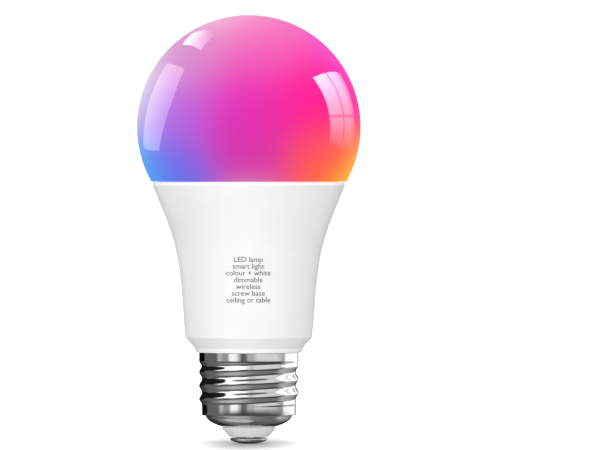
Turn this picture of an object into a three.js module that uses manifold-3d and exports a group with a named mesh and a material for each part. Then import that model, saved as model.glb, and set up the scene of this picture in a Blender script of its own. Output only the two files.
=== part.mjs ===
// Smart light bulb with an Edison screw base.
// Millimetres, +Z up towards the dome, origin at the tip of the centre contact, on the bulb's axis.

import * as THREE from 'three';
import { mergeVertices } from 'three/addons/utils/BufferGeometryUtils.js';
import Module from 'manifold-3d';

const wasm = await Module();
wasm.setup();

// ---------------------------------------------------------------- driving dimensions

const overallHeight = 113.1;
const domeRadius = 29.5;
const domeThickness = 1.5;
const plasticThickness = 1.6;
const aluminiumThickness = 1.2;
const boardThickness = 1.2;

// Medium Edison screw base: seven threads to the inch.
const screwDiameter = 26.3;
const screwPitch = 25.4 / 7;
const threadDepth = 0.75;
const sheetThickness = 0.4;

// Clearance between pieces, and the finer one at the seams that show.
const gap = 0.3;
const seamGap = 0.1;

// Facets round the big turned pieces, and round the small ones.
const roundSegments = 40;
const smallSegments = 20;

// ---------------------------------------------------------------- screw base levels and radii

const contactHeight = 1.5;
const contactRadius = 4.9;
const contactTipRadius = 1.2;
const contactRim = 0.35;
const stemRadius = 1.1;
const stemTop = 8.0;

const shellBottom = 4.6;
const shellMouthRadius = 7.1;
const shellBandBottom = 7.5;
const threadBottom = 9.9;
const threadTop = 22.0;
const crestAtStart = 17.1;
const shoulderStep = 1.0;

const insulatorBottom = contactHeight + gap;
const insulatorTop = 9.0;

const housingBottom = 24.1;
const shellTop = housingBottom - seamGap;

const crestRadius = screwDiameter / 2;
const rootRadius = crestRadius - threadDepth;
const shoulderRadius = rootRadius - shoulderStep;
const shellBoreRadius = rootRadius - sheetThickness;

// ---------------------------------------------------------------- housing levels and radii

const neckRingStep = 0.95;
const neckRingHeight = 1.1;
const neckRingFlare = 0.16;
const chamferHeight = 2.9;
const chamferWidth = 2.57;
const tubeThickness = 1.5;

const neckRingRadius = crestRadius + neckRingStep;
const neckRingTop = housingBottom + neckRingHeight;
const neckRingTopRadius = neckRingRadius + neckRingFlare;
const chamferTop = neckRingTop + chamferHeight;
const flankBottomRadius = neckRingTopRadius + chamferWidth;
const tubeBottom = insulatorTop + gap;
const tubeRadius = shellBoreRadius - gap - seamGap;
const tubeBoreRadius = tubeRadius - tubeThickness;

// The dome is a sphere cut off below its centre, so it narrows again towards the housing.
const seamDropRatio = 0.4915;
const seamStep = 0.4;
const domeCentre = overallHeight - domeRadius;
const seam = domeCentre - domeRadius * seamDropRatio;
const seamRadius = domeRadius * Math.sqrt(1 - seamDropRatio ** 2);

const lipHeight = 1.0;
const lipThickness = 1.3;
const ledgeDepth = 2.4;
const lipRadius = seamRadius - seamStep;
const lipBoreRadius = lipRadius - lipThickness;
const lipBottom = seam - lipHeight;
const ledge = seam - ledgeDepth;

const sealHeight = 0.8;
const sealWidth = 0.7;
const skirtThickness = 1.4;
const skirtBottom = ledge + sealHeight + seamGap;
const skirtRadius = lipBoreRadius - gap;
const skirtBoreRadius = skirtRadius - skirtThickness;

// ---------------------------------------------------------------- inner levels

// The plate of the heat sink carries the LED board, a little below the housing's ledge.
const plateDrop = 1.8;
const ledBoardMargin = 4.8;
const plateTop = ledge - plateDrop;
const plateBottom = plateTop - aluminiumThickness;
const ledBoardTop = plateTop + boardThickness;
const ledBoardRadius = lipRadius - ledBoardMargin;

// The driver board stands on edge, just behind the axis.
const driverFront = -1.4;
const driverBack = driverFront - boardThickness;
const driverBottom = 11.2;
const driverShoulder = chamferTop + 3.5;
const driverTop = plateBottom - 2.6;
const driverTongueTop = ledBoardTop + 0.9;
const tongueHalfWidth = 4.5;
const driverNeckHalfWidth = Math.sqrt((tubeBoreRadius - gap) ** 2 - driverBack ** 2);
const driverHalfWidth = flankBottomRadius - 4.5;

// The radio board stands in front of it, with its aerial end inside the dome.
const radioBack = 0.6;
const radioThickness = 0.8;
const radioHalfWidth = 6.5;
const radioReach = 12;
const shieldDepth = 2.2;
const radioFront = radioBack + radioThickness;
const radioBottom = driverTop - 2.6;
const radioTop = ledBoardTop + radioReach;

// Both boards reach up through one slot.
const slotMargin = 0.9;
const slotHalfWidth = radioHalfWidth + slotMargin;
const slotBack = driverBack - gap;
const slotFront = radioFront + gap + shieldDepth + 2 * gap;

// ---------------------------------------------------------------- materials

function material(color, roughness, metalness) {
  return new THREE.MeshStandardMaterial({ color, roughness, metalness });
}

const diffuserPlastic = material('#f0a8d8', 0.18, 0);
const housingPlastic = material('#f1f1f2', 0.42, 0);
const nickelPlate = material('#c9c8c6', 0.12, 1);
const contactMetal = material('#d2d1cf', 0.2, 1);
const insulatorPlastic = material('#dedcd8', 0.5, 0);
const siliconeBead = material('#f4f4f2', 0.6, 0);
const sinkAluminium = material('#b9bcc0', 0.38, 1);
const ledBoardWhite = material('#eceee9', 0.45, 0);
const circuitBoard = material('#1f6b3a', 0.4, 0);
const radioBoardBlack = material('#1c2026', 0.4, 0);
const ledPackage = material('#f3f1ea', 0.4, 0);
const warmPhosphor = material('#f2c14a', 0.5, 0);
const coolPhosphor = material('#f3e27c', 0.5, 0);
const zincPlate = material('#a9adb0', 0.3, 1);
const chipEpoxy = material('#1d1d1f', 0.5, 0);
const resistorLacquer = material('#3f6f5c', 0.45, 0);
const varistorLacquer = material('#2563a8', 0.35, 0);
const filmBox = material('#c9a227', 0.4, 0);
const canSleeve = material('#23262b', 0.35, 0);
const ferrite = material('#3a3b3d', 0.7, 0);
const bobbinPlastic = material('#22231f', 0.5, 0);
const windingTape = material('#d8b338', 0.35, 0);
const tinPlate = material('#bfc2c4', 0.28, 1);
const wireRed = material('#b3261e', 0.45, 0);
const wireWhite = material('#e6e4df', 0.45, 0);

// ---------------------------------------------------------------- shape helpers

// Turns a closed outline of [radius, height] points about the axis.
// The outline runs up on its outer side and down on its inner side.
function lathe(outline, segments = roundSegments) {
  const points = outline.map(([radius, height]) => new THREE.Vector2(radius, height));
  return new THREE.LatheGeometry(points, segments).rotateX(Math.PI / 2);
}

// A closed ring of rectangular section.
function ring(innerRadius, outerRadius, bottom, top) {
  return lathe([[innerRadius, bottom], [outerRadius, bottom], [outerRadius, top], [innerRadius, top],
    [innerRadius, bottom]]);
}

// A solid disc or rod along Z.
function rod(radius, bottom, top, segments = smallSegments) {
  return lathe([[0, bottom], [radius, bottom], [radius, top], [0, top]], segments);
}

// Points of a curve in the [radius, height] plane, moved by an offset.
function along(curve, steps, offset = [0, 0]) {
  return curve.getPoints(steps).map((point) => [point.x + offset[0], point.y + offset[1]]);
}

// Points on a circular arc in the [radius, height] plane, angles from the +radius direction.
function arc(centreRadius, centreHeight, radius, fromAngle, toAngle, steps) {
  const clockwise = toAngle < fromAngle;
  const curve = new THREE.EllipseCurve(
    centreRadius, centreHeight, radius, radius, fromAngle, toAngle, clockwise);
  return along(curve, steps);
}

function rectangle(halfWidth, halfDepth, centreX = 0, centreY = 0) {
  const shape = new THREE.Shape();
  shape.moveTo(centreX - halfWidth, centreY - halfDepth);
  shape.lineTo(centreX + halfWidth, centreY - halfDepth);
  shape.lineTo(centreX + halfWidth, centreY + halfDepth);
  shape.lineTo(centreX - halfWidth, centreY + halfDepth);
  shape.closePath();
  return shape;
}

function roundedRectangle(halfWidth, halfDepth, corner) {
  const shape = new THREE.Shape();
  const [across, lengthwise] = [halfWidth - corner, halfDepth - corner];
  shape.moveTo(halfWidth, -lengthwise);
  shape.absarc(across, lengthwise, corner, 0, Math.PI / 2);
  shape.absarc(-across, lengthwise, corner, Math.PI / 2, Math.PI);
  shape.absarc(-across, -lengthwise, corner, Math.PI, 1.5 * Math.PI);
  shape.absarc(across, -lengthwise, corner, 1.5 * Math.PI, 2 * Math.PI);
  return shape;
}

// A plate of the given outline, from height bottom upwards.
function plate(shape, bottom, thickness) {
  const options = { depth: thickness, bevelEnabled: false, curveSegments: 1 };
  return new THREE.ExtrudeGeometry(shape, options).translate(0, 0, bottom);
}

// A plate whose outline is drawn in X and Z, and whose thickness runs from back towards +Y.
function uprightPlate(shape, back, thickness) {
  const options = { depth: thickness, bevelEnabled: false };
  return new THREE.ExtrudeGeometry(shape, options).rotateX(Math.PI / 2).translate(0, back + thickness, 0);
}

// A rod along Z with rounded rims.
function roundedRod(radius, bottom, height, rim) {
  const top = bottom + height;
  const lower = arc(radius - rim, bottom + rim, rim, -Math.PI / 2, 0, 2);
  const upper = arc(radius - rim, top - rim, rim, 0, Math.PI / 2, 2);
  return lathe([[0, bottom], ...lower, ...upper, [0, top]], smallSegments);
}

// An insulated wire: an eight-sided section swept along a smooth curve through the points.
function wire(radius, points) {
  const sides = 8;
  const corners = Array.from({ length: sides }, (_, side) => {
    const angle = (2 * Math.PI * side) / sides;
    return new THREE.Vector2(radius * Math.cos(angle), radius * Math.sin(angle));
  });
  const path = new THREE.CatmullRomCurve3(points.map((point) => new THREE.Vector3(...point)));
  const options = { steps: 14, bevelEnabled: false, extrudePath: path };
  return new THREE.ExtrudeGeometry(new THREE.Shape(corners), options);
}

// ---------------------------------------------------------------- booleans

function toSolid(geometry) {
  const bare = geometry.clone();
  bare.deleteAttribute('normal');
  bare.deleteAttribute('uv');
  const merged = mergeVertices(bare, 1e-4);
  const mesh = new wasm.Mesh({
    numProp: 3,
    vertProperties: new Float32Array(merged.attributes.position.array),
    triVerts: new Uint32Array(merged.index.array),
  });
  return new wasm.Manifold(mesh);
}

function toGeometry(solid) {
  const mesh = solid.getMesh();
  const geometry = new THREE.BufferGeometry();
  geometry.setAttribute('position', new THREE.BufferAttribute(new Float32Array(mesh.vertProperties), 3));
  geometry.setIndex(new THREE.BufferAttribute(new Uint32Array(mesh.triVerts), 1));
  geometry.computeVertexNormals();
  return geometry;
}

function cut(geometry, tools) {
  return toGeometry(tools.reduce((solid, tool) => solid.subtract(toSolid(tool)), toSolid(geometry)));
}

function join(geometries) {
  return toGeometry(geometries.map(toSolid).reduce((whole, solid) => whole.add(solid)));
}

// ---------------------------------------------------------------- the assembly

const bulb = new THREE.Group();

function add(name, geometry, look) {
  const mesh = new THREE.Mesh(geometry, look);
  mesh.name = name;
  bulb.add(mesh);
  return mesh;
}

// ---------------------------------------------------------------- centre contact

// A domed cap with a small flat tip, on a rivet stem that reaches up through the insulator.
function centreContact() {
  const crown = new THREE.QuadraticBezierCurve(
    new THREE.Vector2(contactTipRadius, 0),
    new THREE.Vector2(contactRadius - contactRim, contactRim),
    new THREE.Vector2(contactRadius, contactHeight - contactRim),
  );
  return lathe([
    [0, 0],
    ...along(crown, 4),
    [contactRadius, contactHeight],
    [stemRadius, contactHeight],
    [stemRadius, stemTop],
    [0, stemTop],
  ]);
}

add('centre_contact', centreContact(), contactMetal);

// ---------------------------------------------------------------- screw shell

// The shell's rounded shoulder, from its mouth out to the plain band.
const mouthLand = 0.3;
const shoulder = new THREE.QuadraticBezierCurve(
  new THREE.Vector2(shellMouthRadius + mouthLand, shellBottom),
  new THREE.Vector2(shoulderRadius - mouthLand, (shellBottom + shellBandBottom) / 2 - mouthLand),
  new THREE.Vector2(shoulderRadius, shellBandBottom - seamGap),
);

// Moves each point of the thread zone out by the height of the rolled right-hand thread there.
// The ridge rises from the plain band below it and runs out into the plain band above it.
function rollThread(geometry) {
  const position = geometry.attributes.position;
  const runIn = screwPitch / 2;
  const tolerance = 1e-3;
  for (let index = 0; index < position.count; index += 1) {
    const x = position.getX(index);
    const y = position.getY(index);
    const z = position.getZ(index);
    const radius = Math.hypot(x, y);
    const onFace = radius > rootRadius - tolerance;
    if (onFace && z > threadBottom - tolerance && z < threadTop + tolerance) {
      const turn = Math.atan2(y, x) / (2 * Math.PI);
      const phase = (z - crestAtStart) / screwPitch - turn;
      const wave = 0.5 + 0.5 * Math.cos(2 * Math.PI * phase);
      const rise = THREE.MathUtils.smoothstep(z, threadBottom, threadBottom + runIn);
      const bandShare = THREE.MathUtils.smoothstep(z, threadTop - runIn, threadTop);
      const stretch = 1 + (threadDepth * THREE.MathUtils.lerp(wave * rise, 1, bandShare)) / rootRadius;
      position.setXYZ(index, x * stretch, y * stretch, z);
    }
  }
  return geometry;
}

function screwShell() {
  const shoulderSteps = 4;
  const threadRows = 20;
  const thread = new THREE.LineCurve(
    new THREE.Vector2(rootRadius, threadBottom),
    new THREE.Vector2(rootRadius, threadTop),
  );
  const inside = along(shoulder, shoulderSteps, [-sheetThickness / 2, sheetThickness]).reverse();
  return rollThread(lathe([
    [shellMouthRadius, shellBottom],
    ...along(shoulder, shoulderSteps),
    [rootRadius, shellBandBottom],
    ...along(thread, threadRows),
    [crestRadius, shellTop],
    [shellBoreRadius, shellTop],
    [shellBoreRadius, shellBandBottom + sheetThickness],
    ...inside,
    [shellMouthRadius, shellBottom + sheetThickness],
    [shellMouthRadius, shellBottom],
  ]));
}

add('screw_shell', screwShell(), nickelPlate);

// ---------------------------------------------------------------- base insulator

// A cone under the shell's mouth, a waist through it and a wide plug that fills the shell above it.
function baseInsulator() {
  const holeRadius = stemRadius + gap;
  const footRadius = contactRadius + 0.2;
  const coneTop = shellBottom - gap;
  const coneRim = 0.3;
  const waistRadius = shellMouthRadius - gap;
  const plug = along(shoulder, 4, [-sheetThickness - gap, sheetThickness + gap]);
  const plugRadius = shoulderRadius - sheetThickness - gap;
  return lathe([
    [holeRadius, insulatorBottom],
    [footRadius, insulatorBottom],
    [shellMouthRadius, coneTop - coneRim],
    [shellMouthRadius, coneTop],
    [waistRadius, coneTop],
    [waistRadius, shellBottom + sheetThickness + gap],
    ...plug,
    [plugRadius, insulatorTop],
    [holeRadius, insulatorTop],
    [holeRadius, insulatorBottom],
  ]);
}

add('base_insulator', baseInsulator(), insulatorPlastic);

// ---------------------------------------------------------------- housing

// The flank is one curve: nearly straight above the neck, flaring to a steady slope under the lip.
const neckSlope = 0.06;
const lipSlope = 0.4;
const neckShare = 0.625;
const neckReach = neckShare * (lipBottom - chamferTop);
const lipReach = (1 - neckShare) * (lipBottom - chamferTop);
const flank = new THREE.CubicBezierCurve(
  new THREE.Vector2(flankBottomRadius, chamferTop),
  new THREE.Vector2(flankBottomRadius + neckSlope * neckReach, chamferTop + neckReach),
  new THREE.Vector2(lipRadius - lipSlope * lipReach, lipBottom - lipReach),
  new THREE.Vector2(lipRadius, lipBottom),
);

// Radius of the flank at a height, found by halving, because the curve climbs steadily.
function flankRadius(height) {
  let low = 0;
  let high = 1;
  for (let round = 0; round < 40; round += 1) {
    const middle = (low + high) / 2;
    if (flank.getPoint(middle).y < height) low = middle;
    else high = middle;
  }
  return flank.getPoint(low).x;
}

// Points of the flank between two heights, moved in by an inset, going up.
function flankPoints(fromHeight, toHeight, inset) {
  const steps = 8;
  return Array.from({ length: steps + 1 }, (_, step) => {
    const height = fromHeight + ((toHeight - fromHeight) * step) / steps;
    return [flankRadius(height) - inset, height];
  });
}

// The wire to the screw shell leaves the tube through a notch in its lower edge.
const notchHalfWidth = 1.1;
const notchHeight = 2.5;

function housingShell() {
  const inner = flankPoints(chamferTop + plasticThickness / 2, ledge, plasticThickness).reverse();
  const body = lathe([
    [tubeBoreRadius, tubeBottom],
    [tubeRadius, tubeBottom],
    [tubeRadius, housingBottom],
    [neckRingRadius, housingBottom],
    [neckRingTopRadius, neckRingTop],
    ...flankPoints(chamferTop, lipBottom, 0),
    [lipRadius, seam],
    [lipBoreRadius, seam],
    [lipBoreRadius, ledge],
    ...inner,
    [tubeBoreRadius, neckRingTop],
    [tubeBoreRadius, tubeBottom],
  ]);
  const notch = new THREE.BoxGeometry(tubeRadius, 2 * notchHalfWidth, 2 * notchHeight);
  return cut(body, [notch.translate(-tubeRadius, 0, tubeBottom)]);
}

add('housing_shell', housingShell(), housingPlastic);

// ---------------------------------------------------------------- dome and its seal bead

// Angle on a sphere about the dome's centre at which it reaches a height.
function sphereAngle(height, radius) {
  return Math.asin((height - domeCentre) / radius);
}

// A hollow sphere, with a plain skirt that drops into the housing's rebate.
function diffuserDome() {
  const edge = seam + seamGap;
  const edgeRound = 0.35;
  const innerRadius = domeRadius - domeThickness;
  const innerFoot = domeCentre - Math.sqrt(innerRadius ** 2 - skirtBoreRadius ** 2);
  const outside = arc(0, domeCentre, domeRadius, sphereAngle(edge + edgeRound, domeRadius), Math.PI / 2, 16);
  const inside = arc(0, domeCentre, innerRadius, Math.PI / 2, sphereAngle(innerFoot, innerRadius), 10);
  return lathe([
    [skirtBoreRadius, skirtBottom],
    [skirtRadius, skirtBottom],
    [skirtRadius, edge],
    [outside[0][0] - edgeRound, edge],
    ...outside.slice(0, -1),
    [0, overallHeight],
    [0, overallHeight - domeThickness],
    ...inside.slice(1),
    [skirtBoreRadius, skirtBottom],
  ]);
}

const sealOuterRadius = lipBoreRadius - seamGap;

add('diffuser_dome', diffuserDome(), diffuserPlastic);
add('dome_seal', ring(sealOuterRadius - sealWidth, sealOuterRadius, ledge, ledge + sealHeight), siliconeBead);

// ---------------------------------------------------------------- heat sink and LED board

// LED packages: length along the board's radius, width and height. The white ones follow the rim.
const colourSize = [3.5, 3.5, 1.5];
const whiteSize = [2.8, 3.5, 0.8];
const colourRingRadius = slotHalfWidth + colourSize[0] / 2 + 2 * gap;
const whiteRingRadius = ledBoardRadius - whiteSize[0];

// The board screws sit just inside the white ring.
const boardScrewRadius = 1.25;
const boardScrewHeadRadius = 2.2;
const boardScrewCircle = whiteRingRadius - whiteSize[0] / 2 - 2 * gap - boardScrewHeadRadius;
const boardScrewAngles = [Math.PI / 2, 1.5 * Math.PI];

// The slot and the screw holes, long enough to pass through a plate between two heights.
function boardCuts(bottom, top) {
  const spare = 1;
  const halfDepth = (slotFront - slotBack) / 2;
  const slot = rectangle(slotHalfWidth, halfDepth, 0, slotBack + halfDepth);
  const holes = boardScrewAngles.map((angle) => {
    const hole = rod(boardScrewRadius + gap, bottom - spare, top + spare);
    return hole.translate(boardScrewCircle * Math.cos(angle), boardScrewCircle * Math.sin(angle), 0);
  });
  return [plate(slot, bottom - spare, top - bottom + 2 * spare), ...holes];
}

// A thin cup, open at its foot, whose closed end is the plate under the LED board.
function heatSinkCup() {
  const foot = chamferTop + 4;
  const outerInset = plasticThickness + gap;
  const outer = flankPoints(foot, plateTop, outerInset);
  const inner = flankPoints(foot, plateBottom, outerInset + aluminiumThickness).reverse();
  const cup = lathe([inner[inner.length - 1], ...outer, [0, plateTop], [0, plateBottom], ...inner]);
  return cut(cup, boardCuts(plateBottom, plateTop));
}

function ledBoard() {
  return cut(rod(ledBoardRadius, plateTop, ledBoardTop, roundSegments), boardCuts(plateTop, ledBoardTop));
}

add('heat_sink_cup', heatSinkCup(), sinkAluminium);
add('led_board', ledBoard(), ledBoardWhite);

// Pan-head screws that clamp the board to the plate.
function boardScrew() {
  const tip = plateBottom - 2;
  const point = 0.3;
  const headTop = ledBoardTop + 1.3;
  const headRound = 0.5;
  return lathe([
    [0, tip],
    [boardScrewRadius - point, tip],
    [boardScrewRadius, tip + point],
    [boardScrewRadius, ledBoardTop],
    [boardScrewHeadRadius, ledBoardTop],
    ...arc(boardScrewHeadRadius - headRound, headTop - headRound, headRound, 0, Math.PI / 2, 2),
    [0, headTop],
  ], smallSegments);
}

boardScrewAngles.forEach((angle, index) => {
  const screw = add(`board_screw_${index + 1}`, boardScrew(), zincPlate);
  screw.position.set(boardScrewCircle * Math.cos(angle), boardScrewCircle * Math.sin(angle), 0);
});

// ---------------------------------------------------------------- LED packages

// A ring of equal packages on the board, each turned to face along its own radius.
function ledRing(names, ringRadius, firstAngle, [length, width, height], looks) {
  const solderHeight = 0.1;
  const corner = 0.3;
  names.forEach((name, index) => {
    const angle = firstAngle + (2 * Math.PI * index) / names.length;
    const shape = roundedRectangle(length / 2, width / 2, corner);
    const led = add(name, plate(shape, 0, height), looks[index % looks.length]);
    led.position.set(ringRadius * Math.cos(angle), ringRadius * Math.sin(angle), ledBoardTop + solderHeight);
    led.rotation.z = angle;
  });
}

const numbers = [1, 2, 3, 4, 5, 6];
const colourNames = numbers.map((number) => `colour_led_${number}`);
const whiteNames = numbers.flatMap((number) => [`warm_led_${number}`, `cool_led_${number}`]);

ledRing(colourNames, colourRingRadius, 0, colourSize, [ledPackage]);
ledRing(whiteNames, whiteRingRadius, Math.PI / 12, whiteSize, [warmPhosphor, coolPhosphor]);

// ---------------------------------------------------------------- driver board

function driverBoard() {
  const slope = 1.5;
  const right = [
    [driverNeckHalfWidth, driverBottom],
    [driverNeckHalfWidth, driverShoulder - slope],
    [driverHalfWidth, driverShoulder + slope],
    [driverHalfWidth, driverTop],
    [tongueHalfWidth, driverTop],
    [tongueHalfWidth, driverTongueTop],
  ];
  const left = right.map(([x, z]) => [-x, z]).reverse();
  const corners = [...right, ...left].map(([x, z]) => new THREE.Vector2(x, z));
  return uprightPlate(new THREE.Shape(corners), driverBack, boardThickness);
}

add('driver_board', driverBoard(), circuitBoard);

// ---------------------------------------------------------------- parts on the driver board

// Everything in front of the board starts at frontSeat, and everything behind it ends at backSeat.
const frontSeat = driverFront + gap;
const backSeat = driverBack - gap;
const step = 1.0;

// A moulded block in front of the board or behind it, drawn by its width, depth and height.
function frontBlock([width, depth, height], corner, centreX, bottom, seat = frontSeat) {
  const shape = roundedRectangle(width / 2, depth / 2, corner);
  return plate(shape, bottom, height).translate(centreX, seat + depth / 2, 0);
}

function backBlock(size, corner, centreX, bottom) {
  return frontBlock(size, corner, centreX, bottom, backSeat - size[1]);
}

// In the neck, in front: the input capacitor stands along the board.
const inputCapRadius = 4.0;
const inputCapHeight = 11;
const inputCapBottom = driverBottom + 5;
const inputCapTop = inputCapBottom + inputCapHeight;
const inputCap = roundedRod(inputCapRadius, inputCapBottom, inputCapHeight, 0.6);
add('input_capacitor', inputCap.translate(0, frontSeat + inputCapRadius, 0), canSleeve);

// In the neck, behind: inductor, fuse resistor, rectifier and the two chips.
const inductorRadius = 2.0;
const inductorHeight = 5;

// Drum core: two flanges and a thinner wound waist.
function filterInductor() {
  const bottom = driverBottom + gap;
  const top = bottom + inductorHeight;
  const flange = 0.8;
  const waistRadius = inductorRadius - 0.5;
  return lathe([
    [0, bottom],
    [inductorRadius, bottom],
    [inductorRadius, bottom + flange],
    [waistRadius, bottom + flange + gap],
    [waistRadius, top - flange - gap],
    [inductorRadius, top - flange],
    [inductorRadius, top],
    [0, top],
  ], smallSegments).translate(-inductorRadius - gap, backSeat - inductorRadius, 0);
}

const fuseRadius = 1.4;
const fuseHeight = 7;
const fuse = roundedRod(fuseRadius, driverBottom + 2, fuseHeight, 0.5);
const bridgeSize = [5.2, 1.6, 6.4];
const bridgeBottom = driverBottom + inductorHeight + step;
const chipBottom = bridgeBottom + bridgeSize[2] + step;
const driverChipSize = [4, 1.5, 5];
const supplyChipSize = [3, 1.5, 3];

add('filter_inductor', filterInductor(), ferrite);
add('fuse_resistor', fuse.translate(driverNeckHalfWidth / 2, backSeat - fuseRadius, 0), resistorLacquer);
add('bridge_rectifier', backBlock(bridgeSize, 0.3, -bridgeSize[0] / 2, bridgeBottom), chipEpoxy);
add('driver_chip', backBlock(driverChipSize, 0.2, driverChipSize[0] / 2 + gap, chipBottom), chipEpoxy);
add('supply_chip', backBlock(supplyChipSize, 0.2, -supplyChipSize[0], chipBottom), chipEpoxy);

// In the wide bay, behind: the film capacitor beside the varistor.
const bayBottom = chipBottom + driverChipSize[2] + step;
const filmSize = [7.5, 4.6, 7.5];
const varistorRadius = 3.0;
const varistorDepth = 2.8;

function varistor() {
  const disc = roundedRod(varistorRadius, 0, varistorDepth, 0.8);
  return disc.rotateX(Math.PI / 2).translate(varistorRadius + gap, backSeat, bayBottom + varistorRadius);
}

add('film_capacitor', backBlock(filmSize, 0.5, -filmSize[0] / 2 - gap, bayBottom), filmBox);
add('varistor', varistor(), varistorLacquer);

// ---------------------------------------------------------------- transformer and output capacitor

// An E core on edge: the bobbin and the winding go round its centre leg, through its two windows.
const legHalf = 1.5;
const coreDepth = 4.5;
const coreHeight = 10;
const yoke = 1.8;
const bobbinWall = 0.5;
const bobbinFlange = 0.7;
const windingBuild = 1.0;
const outerLeg = 1.6;

const bobbinInner = legHalf + gap;
const windingInner = bobbinInner + bobbinWall + gap;
const windingOuter = windingInner + windingBuild;
const flangeOuter = windingOuter + gap / 2;
const windowOuter = windingOuter + gap;
const coreHalfWidth = windowOuter + outerLeg;
const depthExtra = coreDepth / 2 - legHalf;

const coreX = -coreHalfWidth + 2;
const coreY = frontSeat + flangeOuter + depthExtra;
const coreBottom = inputCapTop + step;
const windowBottom = coreBottom + yoke;
const windowTop = coreBottom + coreHeight - yoke;

function transformerCore() {
  const width = windowOuter - legHalf;
  const height = windowTop - windowBottom;
  const windows = [-1, 1].map((side) => {
    const opening = new THREE.BoxGeometry(width, 2 * coreDepth, height);
    return opening.translate(side * (legHalf + width / 2), 0, 0);
  });
  const body = cut(new THREE.BoxGeometry(2 * coreHalfWidth, coreDepth, coreHeight), windows);
  return body.translate(coreX, coreY, coreBottom + coreHeight / 2);
}

// A rectangular ring round the centre leg.
function legRing(inner, outer, bottom, top) {
  const outline = rectangle(outer, outer + depthExtra);
  outline.holes.push(rectangle(inner, inner + depthExtra));
  return plate(outline, bottom, top - bottom).translate(coreX, coreY, 0);
}

const bobbinBottom = windowBottom + gap;
const bobbinTop = windowTop - gap;

function transformerBobbin() {
  return join([
    legRing(bobbinInner, bobbinInner + bobbinWall, bobbinBottom, bobbinTop),
    legRing(bobbinInner, flangeOuter, bobbinBottom, bobbinBottom + bobbinFlange),
    legRing(bobbinInner, flangeOuter, bobbinTop - bobbinFlange, bobbinTop),
  ]);
}

function transformerWinding() {
  const inset = bobbinFlange + gap;
  return legRing(windingInner, windingOuter, bobbinBottom + inset, bobbinTop - inset);
}

const outputCapRadius = 4.0;
const outputCapHeight = 10;
const outputCap = roundedRod(outputCapRadius, coreBottom, outputCapHeight, 0.6);
const outputCapX = coreX + coreHalfWidth + step + outputCapRadius;

add('transformer_core', transformerCore(), ferrite);
add('transformer_bobbin', transformerBobbin(), bobbinPlastic);
add('transformer_winding', transformerWinding(), windingTape);
add('output_capacitor', outputCap.translate(outputCapX, frontSeat + outputCapRadius, 0), canSleeve);

// ---------------------------------------------------------------- radio board

function radioBoard() {
  const outline = rectangle(radioHalfWidth, (radioTop - radioBottom) / 2, 0, (radioTop + radioBottom) / 2);
  return uprightPlate(outline, radioBack, radioThickness);
}

const headerSize = [10, radioBack - driverFront - 2 * gap, 2];
const shieldSize = [9.2, shieldDepth, 9];

add('radio_board', radioBoard(), radioBoardBlack);
add('radio_header', frontBlock(headerSize, 0.1, 0, radioBottom + gap), bobbinPlastic);
add('radio_shield', frontBlock(shieldSize, 0.4, 0, plateBottom - step, radioFront + gap), tinPlate);

// ---------------------------------------------------------------- mains wires

const wireRadius = 0.6;
const wireEndX = driverNeckHalfWidth - 2.6;
const wireEndY = frontSeat + wireRadius;
const wireEndZ = driverBottom + 6;

// From the rivet stem of the centre contact up to the driver board.
function liveWire() {
  const start = stemTop + gap;
  return wire(wireRadius, [
    [0, 0, start],
    [0, 0, start + 1.4],
    [wireEndX / 2, wireEndY / 2, driverBottom + 0.4],
    [wireEndX, wireEndY, driverBottom + 3],
    [wireEndX, wireEndY, wireEndZ],
  ]);
}

// From the driver board out through the notch in the tube to the wall of the screw shell.
function neutralWire() {
  const level = tubeBottom + 1;
  return wire(wireRadius, [
    [gap - shellBoreRadius, 0, level],
    [1.2 - tubeBoreRadius, 0, level],
    [-wireEndX - 0.4, wireEndY * 0.6, driverBottom + 1.2],
    [-wireEndX, wireEndY, driverBottom + 3.4],
    [-wireEndX, wireEndY, wireEndZ],
  ]);
}

add('live_wire', liveWire(), wireRed);
add('neutral_wire', neutralWire(), wireWhite);

export default bulb;
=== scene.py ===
"""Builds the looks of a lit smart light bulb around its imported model.

The file is laid out as an add-on and run as a script. Metres, +Z up, origin at the tip of the contact.
"""
import math

import bpy
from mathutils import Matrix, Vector


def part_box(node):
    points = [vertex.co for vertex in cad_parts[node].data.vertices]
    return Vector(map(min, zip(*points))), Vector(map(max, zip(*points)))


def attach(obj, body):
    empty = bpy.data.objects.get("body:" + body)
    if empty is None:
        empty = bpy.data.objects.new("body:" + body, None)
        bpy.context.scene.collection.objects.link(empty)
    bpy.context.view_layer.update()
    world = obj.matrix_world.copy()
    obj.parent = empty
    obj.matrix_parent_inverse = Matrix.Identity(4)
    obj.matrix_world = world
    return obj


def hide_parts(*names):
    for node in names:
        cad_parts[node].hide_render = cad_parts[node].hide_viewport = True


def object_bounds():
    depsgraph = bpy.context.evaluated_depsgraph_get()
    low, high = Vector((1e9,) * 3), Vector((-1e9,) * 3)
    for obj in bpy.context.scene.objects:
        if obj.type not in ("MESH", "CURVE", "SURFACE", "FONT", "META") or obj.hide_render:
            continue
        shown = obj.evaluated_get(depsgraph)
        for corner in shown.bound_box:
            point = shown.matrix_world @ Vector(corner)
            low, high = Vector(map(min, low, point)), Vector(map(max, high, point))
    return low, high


bl_info = {
    "name": "Smart Light Bulb",
    "version": (1, 0, 0),
    "blender": (4, 5, 0),
    "location": "3D View > Sidebar > Bulb",
    "description": "Builds a lit screw-base bulb with a colour-gradient dome",
    "category": "Object",
}

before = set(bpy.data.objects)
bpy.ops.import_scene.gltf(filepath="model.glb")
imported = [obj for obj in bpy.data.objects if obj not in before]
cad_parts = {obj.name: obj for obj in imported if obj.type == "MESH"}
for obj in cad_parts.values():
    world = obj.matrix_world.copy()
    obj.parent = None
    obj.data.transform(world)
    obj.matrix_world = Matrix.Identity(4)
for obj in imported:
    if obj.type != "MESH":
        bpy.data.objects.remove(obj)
cad_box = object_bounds()

MM = 0.001
BODY = "root"

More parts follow.
